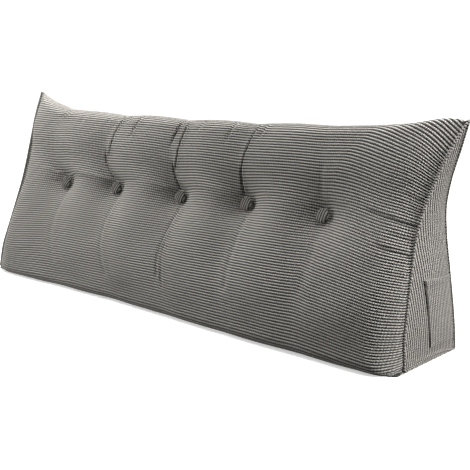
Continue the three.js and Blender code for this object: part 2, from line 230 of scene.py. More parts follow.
# Sideways lean of a tuft's crease at a distance above (+) or below (-) its button
def creaseLean(k, up):
    s = tuftShape
    clear = np.maximum(0, np.abs(up) - s["seatRadius"])
    down = tufts["leanDown"][k] * np.minimum(1.1, clear / s["leanDownLength"]) ** 3
    bow = tufts["leanUp"][k] * (1 - np.exp(-clear / s["leanReach"]))
    above = mix(bow, tufts["leanTop"][k], smooth((clear - s["leanTurnsAt"]) / s["leanTurnLength"]))
    return np.where(up < 0, down, above)


# Depth of cloth drawn in by the tufts: a cup round each button and a valley above and below it
def tuftDepth(x, t):
    s = tuftShape
    depth = 0
    for k in range(tuftCount):
        up = (t - tufts["at"][k]) * s["slopeLength"]
        aside = x - tufts["x"][k] - creaseLean(k, up)
        away = np.hypot(aside, up)
        outside = np.maximum(0, away - s["seatRadius"]) / np.maximum(away, 1e-6)
        across, along = aside * outside, up * outside
        upward = mix(tufts["foldUp"][k], tufts["foldTop"][k], smooth(along / s["creaseFadeUp"]))
        downward = tufts["foldDown"][k] * (1 - smooth(-along / s["creaseFadeDown"]))
        level = mix(downward, upward, smooth(0.5 + 2 * along / s["foldBlend"]))
        cup = s["cupDepth"] * np.exp(-np.hypot(across * s["cupNarrowing"], along) / s["cupReach"])
        fold = mix(s["softFold"], s["sharpFold"], smooth(0.5 + along / s["foldBlend"]))
        wall = (1 - np.minimum(1, (np.hypot(across, fold) - fold) / s["valleyHalfWidth"])) ** 2
        depth = depth + level * wall + cup
    return depth


# Share of the full crown that the filling reaches at a distance from the end seam
def cheek(distance, t):
    length = mix(cover["toeCheekLength"], cover["cheekLength"], smooth(t / cover["toeShare"]))
    rounded = np.sqrt(1 - (1 - np.minimum(1, distance / length)) ** 2)
    flat = smooth(distance / cover["earLength"])
    return mix(rounded, flat, cover["earFlatness"] * smooth((t - cover["earFrom"]) / (1 - cover["earFrom"])))


stops = np.array([-1] + [x / seamReach(at, x, 0) for x, at in zip(tufts["x"], tufts["at"])] + [1], float)


# Sideways shift of a grid column, so that the columns nearest a button follow its crease
def leanAt(across, t):
    slope = tuftShape["slopeLength"]
    leans = [creaseLean(k, (t - tufts["at"][k]) * slope) for k in range(tuftCount)]
    leans = [0 * t] + leans + [0 * t]
    shift = 0
    for i in range(len(stops) - 1):
        share = (across - stops[i]) / (stops[i + 1] - stops[i])
        inside = (share >= 0) & (share < 1)
        shift = shift + np.where(inside, mix(leans[i], leans[i + 1], share), 0)
    return shift


# Point on the front or back cover. Across goes from -1 to 1, t from the floor to the ridge.
def coverPoint(across, t, isFront):
    side = -1 if isFront else 1
    seamX = seamReach(t, across, 0 if isFront else 1)
    seamY = seamAt(t, "frontY" if isFront else "backY")
    seamZ = mix(cover["baseSeamHeight"], cover["tipHeight"], t)
    overBack = (1 - t) * tuftShape["slopeLength"]
    fade = 1 if isFront else np.exp(-overBack / tuftShape["creaseOverBack"])
    x = across * seamX + leanAt(across, t if isFront else t * 0 + 1) * fade
    rows = {name: readRow(sections, "x", name, across * cover["tipReach"]) for name in sections if name != "x"}
    foot = rows["toeY"] if isFront else cover["heelY"]
    footRadius = rows["toeRadius"] if isFront else cover["heelRadius"]
    y, z, normalY, normalZ = facePoint(
        foot, footRadius, rows["ridgeY"], rows["ridgeZ"], rows["ridgeRadius"], side, t)
    crown = readRow(frontCrown, "at", "rise", t) if isFront else cover["backCrown"] * np.sin(pi * t)
    drawn = tuftDepth(x, t if isFront else t * 0 + 1) * fade
    fullness = cheek((1 - np.abs(across)) * seamX, t)
    y = mix(seamY, y + normalY * (crown - drawn), fullness)
    z = mix(seamZ, np.maximum(0, z + normalZ * (crown - drawn)), fullness)
    return np.stack(np.broadcast_arrays(x, y, z), -1)


# Point on an end panel. Along goes from the front seam to the back seam, t from the floor up.
def endPoint(side, t, along):
    x = seamReach(t, side, along)
    y = mix(seamAt(t, "frontY"), seamAt(t, "backY"), along)
    swell = cover["endCrown"] * np.sin(pi * along) * np.sin(
        pi * np.minimum(1, t * cover["endCrownSpread"] + cover["endCrownStart"]))
    arch = np.maximum(0, 1 - t / cover["baseSeamFade"])
    bow = cover["baseSeamBow"] * np.sin(pi * along)
    z = mix(cover["baseSeamHeight"], cover["tipHeight"], t) + arch * cover["baseSeamArch"] * np.sin(pi * along)
    return np.stack(np.broadcast_arrays(side * (x + mix(swell, bow, arch)), y, z), -1)


# Point on the base, flat on the floor and rolled up to the base seam at each end.
# Along goes from the heel to the toe.
def basePoint(across, along):
    zero = across * 0.0
    heel, toe = coverPoint(across, zero, False), coverPoint(across, zero, True)
    side = np.where(across < 0, -1, 1)
    seam = endPoint(side, zero, 1 - along)
    inset = (1 - np.abs(across)) * cover["tipReach"]
    flat = smooth(inset / cover["toeCheekLength"])
    x = mix(seam[..., 0], mix(heel[..., 0], toe[..., 0], along), flat)
    z = mix(seam[..., 2], 0, cheek(inset * cover["toeCheekLength"] / cover["baseRoll"], zero))
    return np.stack(np.broadcast_arrays(x, mix(heel[..., 1], toe[..., 1], along), z), -1)


# Point on the cover at a length of cloth from the toe: up the front, over the ridge, down the back
# and under the base
def girthPoint(across, s):
    s = np.mod(s, girth)
    onFront, onBack = s <= frontCloth, s <= frontCloth + backCloth
    front = coverPoint(across, np.clip(s / frontCloth, 0, 1), True)
    back = coverPoint(across, np.clip(1 - (s - frontCloth) / backCloth, 0, 1), False)
    base = basePoint(across, np.clip((s - frontCloth - backCloth) / baseCloth, 0, 1))
    return np.where(onFront[..., None], front, np.where(onBack[..., None], back, base))


# What the scene adds to the filled shape: ribs, creases and seams
clothPull = dict(
    buttonGather=0.1, gatherReach=45,    # the ribs crowd in towards a button
    # and they peak at the crease below it, steeply on its right-hand side
    creaseRise=5, riseReach=125, riseBend=1.8, riseFall=40, riseMiddle=-150, riseSpread=95,
    ribWander=1.2, wanderLength=260, wanderFade=60, ribSquareness=0.85, edgeFlat=3,
    # how open the furrows are, from left to right, and how far they close along the row of buttons: an open furrow
    # is deeper, and its painted shade darker
    openX=[-686, -300, 100, 350, 550, 686], openShare=[0.4, 0.5, 0.68, 0.82, 1.0, 1.0],
    closedShare=0.45, closedAt=0.57, closedSpread=0.09,
    # bead of gathered cloth along the end seams, and the groove beside it
    beadRadius=2.4, beadSwell=0.6, beadOut=1.3, beadSides=8, beadStep=1.4, beadEnd=3,
    beadGroove=2.0, beadGrooveAt=4.5, beadGrooveWidth=2.4,
    upCreaseGain=2.3, gainFrom=0.56, gainOver=0.06,    # creases above the buttons are deeper
    creaseFade=14, lipAside=2.2, lipSpread=1.4,        # the lip's place and spread, in widths of the crease
    pinchStart=26, pinchEnd=8, pinchLip=0.5, pinchLipAside=2, pinchLipSpread=1.5,
    topSeam=34, topSeamBend=10, baseSeamUp=7, seamDepth=2.4, seamWidth=3.0,
    pucker=0.9, puckerPitch=21, puckerWander=61, puckerReach=13, puckerStart=6,
    stripShift=1000,    # sets the strip's UV rows apart from the end panel's
    lumpDepth=1.6, lumpLength=170, lumpSink=0.6, lumpFade=60,
)

# How far the ribs run down into the end seams, by length of cloth round the pillow from the toe
seamDrop = dict(
    cloth=[0, 108, 270, 377, 458, 512, 539, 969, 1115, 1225],    # the ridge is at 539 and the heel at 1014
    right=[8, 33, 52, 56, 68, 80, 84, 0, 0, 8],
    left=[10, 34, 38, 38, 38, 38, 36, 0, 0, 10],
    rightFrom=[400, 400, 400, 415, 455, 495, 510, 510, 450, 400],
)
leftDropFrom, dropBend = 430, 1.35

# Creases pressed into the front cloth: where each runs up the slope, its depth and width, and the
# height of the lip along its right-hand side, in mm
upCreases = [
    # beside the first button, near the top
    dict(at=[0.90, 0.92, 0.95, 0.98], x=[-532, -522, -505, -500], depth=1.6, width=5, lip=1.2),
    dict(at=[0.90, 0.92, 0.95, 0.98], x=[-514, -505, -492, -486], depth=1.6, width=5, lip=1.2),
    dict(at=[0.88, 0.91, 0.95], x=[-442, -434, -428], depth=1.2, width=6, lip=0.8),
    dict(at=[0.90, 0.93, 0.96], x=[-338, -330, -322], depth=1.0, width=5, lip=0.8),
    # above the second button
    dict(at=[0.63, 0.675, 0.712, 0.74, 0.77, 0.82],
         x=[-306, -324, -336, -337, -335, -329],
         depth=2.0, width=3.0, lip=1.4, fadeHigh=45),
    dict(at=[0.72, 0.77, 0.80, 0.834, 0.867, 0.898, 0.931, 1.0],
         x=[-326, -315, -310, -304, -298, -289, -280, -270],
         depth=3.2, width=3.0, lip=1.8, fadeLow=40),
    dict(at=[0.83, 0.878, 0.913, 0.946, 1.0],
         x=[-238, -228, -221, -212, -200],
         depth=2.8, width=4.0, lip=1.8, fadeLow=30),
    dict(at=[0.92, 0.96, 1.0], x=[-261, -252, -244], depth=1.4, width=4.5, lip=1.2),
    # above the third button
    dict(at=[0.63, 0.672, 0.71, 0.743, 0.79],
         x=[-62, -74, -81, -83, -79],
         depth=1.9, width=3.0, lip=0.8, fadeHigh=40),
    dict(at=[0.70, 0.755, 0.79, 0.83, 0.873, 0.911, 0.942, 0.985],
         x=[-77, -69, -63, -59, -53, -48, -42, -36],
         depth=3.1, width=3.0, lip=1.8, fadeLow=30),
    dict(at=[0.79, 0.834, 0.871, 0.903, 0.942, 1.0],
         x=[-97, -90, -84, -77, -71, -66],
         depth=2.8, width=3.2, lip=1.4, fadeLow=70),
    dict(at=[0.90, 0.936, 0.97], x=[-5, 6, 13], depth=1.2, width=4.5, lip=1.0),
    # above the fourth button
    dict(at=[0.65, 0.70, 0.74, 0.775, 0.812, 0.845, 0.878, 0.908, 0.937, 0.98],
         x=[148, 144, 143, 146, 152, 158, 163, 169, 178, 188],
         depth=2.7, width=3.2, lip=1.6),
    dict(at=[0.85, 0.893, 0.938, 1.0], x=[91, 96, 105, 112], depth=1.8, width=4.0, lip=1.0, fadeLow=25),
    dict(at=[0.89, 0.936, 0.98], x=[190, 201, 212], depth=1.8, width=4.0, lip=1.2),
    # above the fifth button
    dict(at=[0.65, 0.70, 0.76, 0.82], x=[381, 380, 380, 386], depth=1.0, width=7, lip=0.6),
    # below the buttons
    dict(at=[0.13, 0.20, 0.28, 0.36, 0.45, 0.56],
         x=[-402, -432, -452, -464, -472, -478],
         depth=2.4, width=9, lip=1.2),
    dict(at=[0.13, 0.20, 0.28, 0.36, 0.45, 0.56],
         x=[-196, -228, -252, -267, -278, -284],
         depth=3.4, width=7, lip=2.0),
    dict(at=[0.18, 0.27, 0.34, 0.45, 0.56], x=[-18, -36, -46, -48, -49], depth=4.2, width=4.6, lip=2.0),
    dict(at=[0.14, 0.20, 0.27, 0.33, 0.38], x=[12, -3, -18, -28, -32], depth=3.4, width=4.6, lip=1.8),
    dict(at=[0.20, 0.30, 0.40, 0.50, 0.57], x=[206, 194, 184, 177, 173], depth=3.2, width=7, lip=1.4),
    dict(at=[0.25, 0.35, 0.45, 0.55], x=[412, 408, 402, 396], depth=1.8, width=10, lip=0.6),
]

# Pinches in the cloth that run sideways, into a seam or towards a button
sidePinches = [
    dict(x=[505, 535, 560, 600, 634], at=[0.640, 0.622, 0.606, 0.579, 0.563], depth=3.4, width=5),
    dict(x=[555, 595, 634], at=[0.500, 0.468, 0.444], depth=3.0, width=5),
    dict(x=[575, 605, 634], at=[0.545, 0.522, 0.503], depth=1.6, width=4),
    dict(x=[585, 610, 636], at=[0.700, 0.682, 0.660], depth=1.5, width=5),
    dict(x=[590, 612, 640], at=[0.395, 0.375, 0.355], depth=1.5, width=5),
    dict(x=[-568, -540, -512], at=[0.672, 0.640, 0.610], depth=1.8, width=5),
    dict(x=[-560, -536, -514], at=[0.560, 0.566, 0.574], depth=1.6, width=5),
]


# How far the ribs are shifted up the slope, at a column and a length of cloth from the toe
def ribShift(across, c):
    p, t = clothPull, np.clip(c / frontCloth, 0, 1)
    reach = seamReach(t, across, 0)
    x = across * reach + leanAt(across, t)
    onRight = across > 0
    start = np.where(onRight, np.interp(c, seamDrop["cloth"], seamDrop["rightFrom"]), leftDropFrom)
    drop = np.where(onRight, np.interp(c, seamDrop["cloth"], seamDrop["right"]),
                    np.interp(c, seamDrop["cloth"], seamDrop["left"]))
    shift = -drop * np.clip((np.abs(across) * reach - start) / (reach - start), 0, 1) ** dropBend
    for k in range(tuftCount):
        up = (c / frontCloth - tufts["at"][k]) * tuftShape["slopeLength"]
        aside = x - tufts["x"][k] - creaseLean(k, up)
        left = np.maximum(0, 1 + aside / p["riseReach"]) ** p["riseBend"]
        peak = np.where(aside < 0, left, np.maximum(0, 1 - aside / p["riseFall"]))
        shift = shift + p["creaseRise"] * peak * np.exp(-((up - p["riseMiddle"]) / p["riseSpread"]) ** 2)
        near = np.exp(-((x - tufts["x"][k]) ** 2 + up ** 2) / (2 * p["gatherReach"] ** 2))
        shift = shift - p["buttonGather"] * up * near
    inward = smooth((reach - np.abs(x)) / p["wanderFade"])
    return shift + p["ribWander"] * lumps(x, c, p["wanderLength"], 1.3) * inward


# Relief of the creases and pinches on the front: a furrow, and a lip beside it. The line of a
# crease is read at each height, and the line of a pinch at each place along the pillow.
def creaseRelief(x, s):
    p, t = clothPull, s / frontCloth
    relief = 0 * x
    for crease in upCreases:
        at, width = crease["at"], crease["width"]
        fadeLow, fadeHigh = crease.get("fadeLow", p["creaseFade"]), crease.get("fadeHigh", p["creaseFade"])
        inside = smooth((t - at[0]) * frontCloth / fadeLow) * smooth((at[-1] - t) * frontCloth / fadeHigh)
        away = x - np.interp(t, at, crease["x"])
        deepened = mix(1.0, p["upCreaseGain"], smooth((t - p["gainFrom"]) / p["gainOver"]))
        furrow = crease["depth"] * deepened * np.exp(-(away / width) ** 2)
        lip = crease["lip"] * np.exp(-((away / width - p["lipAside"]) / p["lipSpread"]) ** 2)
        relief = relief + inside * (lip - furrow)
    for pinch in sidePinches:
        ends, width = pinch["x"], pinch["width"]
        inside = smooth((x - ends[0]) / p["pinchStart"]) * smooth((ends[-1] - x) / p["pinchEnd"])
        away = s - np.interp(x, ends, pinch["at"]) * frontCloth
        furrow = pinch["depth"] * np.exp(-(away / width) ** 2)
        lip = np.exp(-((away / width - p["pinchLipAside"]) / p["pinchLipSpread"]) ** 2)
        lip = p["pinchLip"] * pinch["depth"] * lip
        relief = relief + inside * (lip - furrow)
    return relief


# Grid columns, closer together at the buttons' creases and at the end seams
def columnStations():
    x = np.linspace(-1, 1, 4001)
    reach = cover["tipReach"]
    near = sum(np.exp(-(((x - stop) * reach) / cover["creaseBand"]) ** 2) for stop in stops[1:-1])
    edge = np.exp(-((1 - np.abs(x)) * reach) / cover["seamBand"])
    density = mix(1 / cover["columnSpacing"], 1 / cover["creaseSpacing"], np.minimum(1, near))
    density = np.maximum(density, mix(density, 1 / cover["seamSpacing"], edge))
    count = np.concatenate([[0], np.cumsum((density[1:] + density[:-1]) / 2 * np.diff(x) * reach)])
    steps = int(round(count[-1]))
    return np.interp(np.linspace(0, count[-1], steps + 1), count, x)


# Profile of one rib, from 0 in the furrow to 1 on its back: half a sine wave, slightly squared
def ribProfile(phase, squareness=clothPull["ribSquareness"]):
    return np.abs(np.sin(pi * phase)) ** squareness


def seamGroove(distance):
    return clothPull["seamDepth"] * np.exp(-(distance / clothPull["seamWidth"]) ** 2)


# How open the furrows between the ribs are, from 0 to 1
def furrowOpening(x, s):
    p = clothPull
    closed = p["closedShare"] * np.exp(-((s / frontCloth - p["closedAt"]) / p["closedSpread"]) ** 2)
    return np.interp(x, p["openX"], p["openShare"]) * (1 - closed)


def buildCover():
    p = clothPull
    across = columnStations()[:, None]
    wales = cover["frontWales"] + cover["backWales"] + cover["baseWales"]
    phases = (np.arange(wales)[:, None] + np.array(cover["waleRows"])[None, :]).ravel()
    c = (phases * cover["walePitch"])[None, :]
    s = c + ribShift(across, c)
    smoothPoints = girthPoint(across, s)
    alongRib = np.gradient(smoothPoints, axis=0)
    upSlope = np.roll(smoothPoints, -1, 1) - np.roll(smoothPoints, 1, 1)
    normal = unit(np.cross(alongRib, upSlope))
    edge = (1 - np.abs(across)) * cover["tipReach"]
    opening = furrowOpening(smoothPoints[..., 0], s)
    depth = cover["waleDepth"] * mix(cover["closedFurrow"], cover["openFurrow"], opening)
    rib = depth * (ribProfile(phases)[None, :] - 1) * smooth(edge / p["edgeFlat"])
    topSeam = frontCloth + p["topSeam"] * (1 - np.abs(across) ** p["topSeamBend"])
    onTop = seamGroove(s - topSeam)
    onHeel = seamGroove(s - (frontCloth + backCloth - p["baseSeamUp"]))
    onToe = seamGroove(np.mod(s, girth) - p["baseSeamUp"])
    waves = 2 * pi * c / p["puckerPitch"] + 2 * np.sin(c / p["puckerWander"])
    pucker = p["pucker"] * np.sin(waves) * np.exp(-edge / p["puckerReach"]) * smooth(edge / p["puckerStart"])
    x, fade = smoothPoints[..., 0], p["lumpFade"]
    inFront = smooth(s / fade) * (1 - smooth((s - frontCloth + fade) / fade)) * smooth(edge / fade)
    uneven = p["lumpDepth"] * (lumps(x, s, p["lumpLength"]) - p["lumpSink"]) * inFront
    fromGroove = (edge - p["beadGrooveAt"]) / p["beadGrooveWidth"]
    atBead = p["beadGroove"] * np.exp(-fromGroove ** 2)
    relief = rib - onTop - onHeel - onToe - atBead + pucker + uneven + creaseRelief(x, s)
    points = smoothPoints + normal * relief[..., None]
    points[..., 2] = np.maximum(points[..., 2], 0)
    count, rows = points.shape[:2]
    ids = np.arange(count * rows).reshape(count, rows)
    around = np.concatenate([ids, ids[:, :1]], 1)
    u = np.concatenate([x, x[:, :1]], 1)
    v = np.broadcast_to(np.concatenate([c[0], [girth]])[None, :], u.shape)
    faceSets, uvSets = [gridQuads(around)], [gridCorners(np.stack([u, v], -1))]
    pointSets, total = [points.reshape(-1, 3)], count * rows
    for side in (-1, 1):
        panelPoints, panelUv, loopIds, loopAround = endPanel(side)
        panelCount = panelPoints.shape[0] * panelPoints.shape[1]
        panelIds = total + np.arange(panelCount).reshape(panelPoints.shape[:2])
        quads, quadUvs = gridQuads(panelIds), gridCorners(panelUv)
        column = 0 if side < 0 else count - 1
        strip = zipLoops(ids[column], np.mod(s[column], girth), panelIds.ravel()[loopIds], loopAround)
        if side > 0:
            quads, quadUvs, strip = quads[:, ::-1], quadUvs[:, ::-1], strip[:, ::-1]
        everyUv = np.zeros((total + panelCount, 2))
        everyUv[panelIds.ravel()] = panelUv.reshape(-1, 2)
        everyUv[ids[column], 0] = points[column, :, 2]
        everyUv[ids[column], 1] = points[column, :, 1] + p["stripShift"]
        faceSets += [quads, strip]
        uvSets += [quadUvs, everyUv[strip]]
        pointSets.append(panelPoints.reshape(-1, 3))
        total += panelCount
    for side in (-1, 1):
        for name in ("front", "back", "base"):
            bead, beadFaces, beadUvs = seamBead(side, name)
            faceSets += [faces + total for faces in beadFaces]
            uvSets += beadUvs
            pointSets.append(bead)
            total += len(bead)
    piece = makeMesh("cushion_cover", np.concatenate(pointSets), faceSets, uvSets)
    slots = np.zeros(sum(len(faces) for faces in faceSets), np.int32)
    slots[len(faceSets[0]):] = 1
    piece.data.polygons.foreach_set("material_index", slots)
    # How open each furrow is, kept for the material, which paints the furrow's shade darker where it is more open
    furrow = np.zeros(total, np.float32)
    furrow[:count * rows] = opening.ravel()
    layer = piece.data.attributes.new("furrow", "FLOAT", "POINT")
    layer.data.foreach_set("value", furrow)
    triangles = sum(len(faces) * (faces.shape[1] - 2) for faces in faceSets)
    print("cover:", total, "points,", triangles, "triangles")
    return piece


# Bead of cloth along an end seam: a thin closed tube that swells at each rib it gathers in
def seamBead(side, name):
    p = clothPull
    share = np.linspace(0, 1, 600)
    if name == "base":
        line, away = endPoint(side, 0 * share, share), [side * 0.7, 0, -0.5]
    else:
        line = endPoint(side, share, 0 * share + (name == "back"))
        away = [side * 0.6, 0.8 if name == "back" else -0.8, 0]
    length = np.concatenate([[0], np.cumsum(np.linalg.norm(np.diff(line, axis=0), axis=1))])
    steps = int(length[-1] / p["beadStep"])
    walked = np.linspace(0, length[-1], steps + 1)
    path = np.stack([np.interp(walked, length, line[:, k]) for k in range(3)], -1)
    tangent = unit(np.gradient(path, axis=0))
    outward = unit(np.array(away) - tangent * (tangent @ np.array(away))[:, None])
    path = path + outward * p["beadOut"]
    if name == "base":
        path[:, 2] = np.maximum(path[:, 2], p["beadRadius"] + p["beadSwell"])
    across = np.cross(tangent, outward)
    radius = p["beadRadius"] + p["beadSwell"] * (np.abs(np.sin(pi * walked / cover["walePitch"])) - 0.5)
    fromEnd = np.clip(np.minimum(walked, walked[-1] - walked) / p["beadEnd"], 0.05, 1)
    radius = radius * np.sqrt(1 - (1 - fromEnd) ** 2)
    turn = np.linspace(0, 2 * pi, p["beadSides"], endpoint=False)
    ring = np.cos(turn)[None, :, None] * outward[:, None, :] + np.sin(turn)[None, :, None] * across[:, None, :]
    points = path[:, None, :] + ring * radius[:, None, None]
    n, m = points.shape[:2]
    ids = np.arange(n * m).reshape(n, m)
    around = np.concatenate([ids, ids[:, :1]], 1)
    caps = [np.stack([ids[0], np.roll(ids[0], -1), np.full(m, n * m)], -1),
            np.stack([np.roll(ids[-1], -1), ids[-1], np.full(m, n * m + 1)], -1)]
    points = np.concatenate([points.reshape(-1, 3), path[:1], path[-1:]])
    uv = np.stack([np.tile(turn * p["beadRadius"], n), np.repeat(walked, m)], -1)
    uv = np.concatenate([uv, [[0, 0], [0, walked[-1]]]])
    faceSets = [faces[:, ::-1] for faces in [gridQuads(around)] + caps]
    return points, faceSets, [uv[faces] for faces in faceSets]


panel = dict(backInset=2, frontInset=5, seamShare=0.006, edgeShare=0.002, rows=76, samples=400)


# End panel with upright ribs, parallel to the back seam. Columns are ribs at a distance from the
# back seam, and each runs from the base seam up to where the front seam cuts it off.
def endPanel(side):
    p, pitch = panel, cover["walePitch"]
    wide = seamAt(0, "backY") - seamAt(0, "frontY")
    ribs = int(wide / pitch)
    w = (np.arange(ribs)[:, None] + np.array(cover["waleRows"])[None, :]).ravel() * pitch
    w = w[(w > p["backInset"]) & (w < wide - p["frontInset"])][:, None]
    seamT = np.linspace(0, 1, p["samples"])
    seamW = seamAt(seamT, "backY") - seamAt(seamT, "frontY")
    top = np.interp(w, seamW[::-1], seamT[::-1])
    height = np.linspace(0, 1, p["rows"])[None, :]
    low, high = p["seamShare"], top - p["seamShare"]
    t = mix(low, np.maximum(high, low + p["edgeShare"]), height)
    width = seamAt(t, "backY") - seamAt(t, "frontY")
    along = np.clip(1 - w / width, p["edgeShare"], 1 - p["edgeShare"])
    points = endPoint(side, t, along)
    rib = cover["waleDepth"] * (ribProfile(w / pitch) - 1)
    edge = np.minimum(along, 1 - along) * width
    points[..., 0] += side * rib * smooth(edge / clothPull["edgeFlat"])
    uv = np.stack(np.broadcast_arrays(points[..., 2], w + 0 * t), -1)
    n, m = t.shape
    ids = np.arange(n * m).reshape(n, m)
    topRow = ids[::-1, -1]                     # up the front seam
    backColumn = ids[0, ::-1][1:]              # down the back seam
    baseRow = ids[1:, 0]                       # along the base towards the front
    frontColumn = ids[-1, 1:-1]                # the short column at the front corner
    topAround = t[::-1, -1] * frontCloth
    backAround = frontCloth + (1 - t[0, ::-1][1:]) * backCloth
    baseAround = frontCloth + backCloth + (w[1:, 0] / wide) * baseCloth
    frontAround = np.linspace(0.01, topAround[0] - 0.01, len(frontColumn))
    order = np.concatenate([frontColumn, topRow, backColumn, baseRow])
    return points, uv, order, np.concatenate([frontAround, topAround, backAround, baseAround])


coverPiece = buildCover()
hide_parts("pillow_body")
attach(coverPiece, "root")


button = dict(
    walked=[0, 12.6, 15.9, 18.2, 20.4, 24.2, 29.6, 36.8],  # round the profile from the back to the crown
    radius=[0, 12.6, 15.6, 16.8, 16.0, 12.8, 7.4, 0],
    height=[0, 0, 1.3, 3.3, 5.4, 7.4, 8.4, 8.8],
    gap=0.9, seatStep=0.02, rings=30, sides=84,
    ribPitch=6.6, ribDepth=1.3, ribSquareness=0.7, ribStart=5, ribSideways=0.03,
    ribTurn=-24, turnStep=4,    # degrees: the ribs' slant on the first button, and how it changes to the next
    crownDip=0.2,
)


# Where a button sits, and the cover's outward direction there
def buttonSeat(k):
    across, at, step = stops[k + 1], tufts["at"][k], button["seatStep"]
    shifts = np.array([[0, 0], [step, 0], [-step, 0], [0, step], [0, -step]])
    spots = coverPoint(across + shifts[:, 0], at + shifts[:, 1], True)
    return spots[0], unit(np.cross(spots[1] - spots[2], spots[3] - spots[4]))


# Dome whose radius and height follow a table of profile points, ribbed on the slant
def buildButton(k):
    centre, normal = buttonSeat(k)
    along = np.linspace(0, button["walked"][-1], button["rings"])[1:-1, None]
    angle = np.linspace(0, 2 * pi, button["sides"], endpoint=False)[None, :]
    r, h = readRow(button, "walked", "radius", along), readRow(button, "walked", "height", along)
    px, py = r * np.cos(angle), r * np.sin(angle)
    turn = math.radians(button["ribTurn"] + button["turnStep"] * k)
    across = px * math.cos(turn) + py * math.sin(turn)
    rib = button["ribDepth"] * (ribProfile(across / button["ribPitch"], button["ribSquareness"]) - 1)
    rise = smooth((along - button["walked"][2]) / button["ribStart"])
    sideways = 1 + button["ribSideways"] * rib * rise
    local = np.stack(np.broadcast_arrays(px * sideways, py * sideways, h + rib * rise), -1)
    n, m = local.shape[:2]
    crownHeight = button["height"][-1] - button["crownDip"]
    local = np.concatenate([local.reshape(-1, 3), [[0, 0, 0]], [[0, 0, crownHeight]]])
    ids = np.arange(n * m).reshape(n, m)
    around = np.concatenate([ids, ids[:, :1]], 1)
    back = np.stack([np.roll(ids[0], -1), ids[0], np.full(m, n * m)], -1)
    crown = np.stack([ids[-1], np.roll(ids[-1], -1), np.full(m, n * m + 1)], -1)
    normalV = Vector(normal)
    turnMatrix = np.array(Vector((0, 0, 1)).rotation_difference(normalV).to_matrix())
    points = (local + [0, 0, button["gap"]]) @ turnMatrix.T + centre
    uv = local[:, :2] @ np.array([[-math.sin(turn), math.cos(turn)], [math.cos(turn), math.sin(turn)]]).T
    quads = gridQuads(around)[:, ::-1]
    sets = [quads, back, crown]
    piece = makeMesh(f"tuft_button_{k + 1}", points, sets, [uv[f] for f in sets])
    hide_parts(f"button_{k + 1}")
    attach(piece, "root")
    return piece


buttons = [buildButton(k) for k in range(tuftCount)]
print("buttons:", len(buttons))


pocket = dict(
    frontTopY=-7, frontFootY=-4, backInset=4, footZ=32, topZ=174, topFall=5, thick=1.6, gap=0.6,
    hem=15, hemRise=0.9, edgeFold=9, foldRise=0.6, ribDepth=0.9, proud=0.7,
    stitchDepth=0.9, stitchWidth=1.1, stitchInset=2.5,
    lift=1.8, liftReach=10, liftFrom=0.42, liftOver=0.3,    # the open front edge stands off the panel
    topLift=0.6, topLiftReach=9, topLiftBack=14,
    ribFade=3, foldStep=1.5, foldFade=2, columns=108, rows=150,
)


# Patch of doubled cloth on the right-hand end panel, open along its lifted front edge
def buildPocket():
    p = pocket
    rise = np.linspace(0, 1, p["rows"])[:, None]
    across = np.linspace(0, 1, p["columns"])[None, :]
    topZ = p["topZ"] - p["topFall"] * across
    z = mix(p["footZ"], topZ, rise)
    t = (z - cover["baseSeamHeight"]) / (cover["tipHeight"] - cover["baseSeamHeight"])
    frontY, backY = seamAt(t, "frontY"), seamAt(t, "backY")
    y = mix(mix(p["frontFootY"], p["frontTopY"], rise), backY - p["backInset"], across)
    beneath = endPoint(1, t, (y - frontY) / (backY - frontY))
    fromFront = y - mix(p["frontFootY"], p["frontTopY"], rise)
    fromBack = backY - p["backInset"] - y
    fromTop, fromFoot = topZ - z, z - p["footZ"]
    frontLift = p["lift"] * np.exp(-(fromFront / p["liftReach"]) ** 2)
    topLift = p["topLift"] * np.exp(-(fromTop / p["topLiftReach"]) ** 2)
    frontLift = frontLift * smooth((rise - p["liftFrom"]) / p["liftOver"])
    lift = frontLift + topLift * smooth(fromBack / p["topLiftBack"])
    edge = np.minimum(np.minimum(fromFront, fromBack), np.minimum(fromTop, fromFoot))
    rounded = np.sqrt(1 - (1 - np.clip(edge / p["thick"], 0, 1)) ** 2)
    rib = p["ribDepth"] * (ribProfile((backY - y) / cover["walePitch"]) - 1) * smooth(edge / p["ribFade"])
    hem = p["hemRise"] * (1 - smooth((fromTop - p["hem"]) / p["foldStep"]))
    fold = p["foldRise"] * (1 - smooth((fromFront - p["edgeFold"]) / p["foldStep"]))
    doubled = (hem + fold) * smooth(edge / p["foldFade"])
    stitches = 0
    inset = p["stitchInset"]
    for away in (fromTop - p["hem"] + 1, fromFront - p["edgeFold"] + 1, fromFoot - inset, fromBack - inset):
        stitches = stitches + p["stitchDepth"] * np.exp(-(away / p["stitchWidth"]) ** 2)
    face = beneath.copy()
    body = p["gap"] + lift + p["thick"] * rounded + p["proud"]
    face[..., 0] += body + rib + doubled - stitches * smooth(edge)
    under = beneath.copy()
    under[..., 0] += p["gap"] + lift
    n, m = z.shape
    points = np.concatenate([face.reshape(-1, 3), under.reshape(-1, 3)])
    ids = np.arange(2 * n * m).reshape(2, n, m)
    loop = [np.concatenate([row[0, :], row[1:, -1], row[-1, ::-1][1:], row[1:-1, 0][::-1]]) for row in ids]
    rim = np.stack([np.append(loop[0], loop[0][0]), np.append(loop[1], loop[1][0])])
    uv = np.stack([z, backY - y + 0 * z], -1).reshape(-1, 2)
    uv = np.concatenate([uv, uv])
    sets = [gridQuads(ids[0])[:, ::-1], gridQuads(ids[1]), gridQuads(rim)]
    piece = makeMesh("end_pocket", points, sets, [uv[f] for f in sets])
    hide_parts("side_pocket")
    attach(piece, "root")
    return piece


pocketPiece = buildPocket()
print("pocket:", len(pocketPiece.data.polygons), "faces")


def linear(hexColour):
    channels = [int(hexColour[i:i + 2], 16) / 255 for i in (1, 3, 5)]
    return tuple(v / 12.92 if v <= 0.04045 else ((v + 0.055) / 1.055) ** 2.4 for v in channels) + (1.0,)


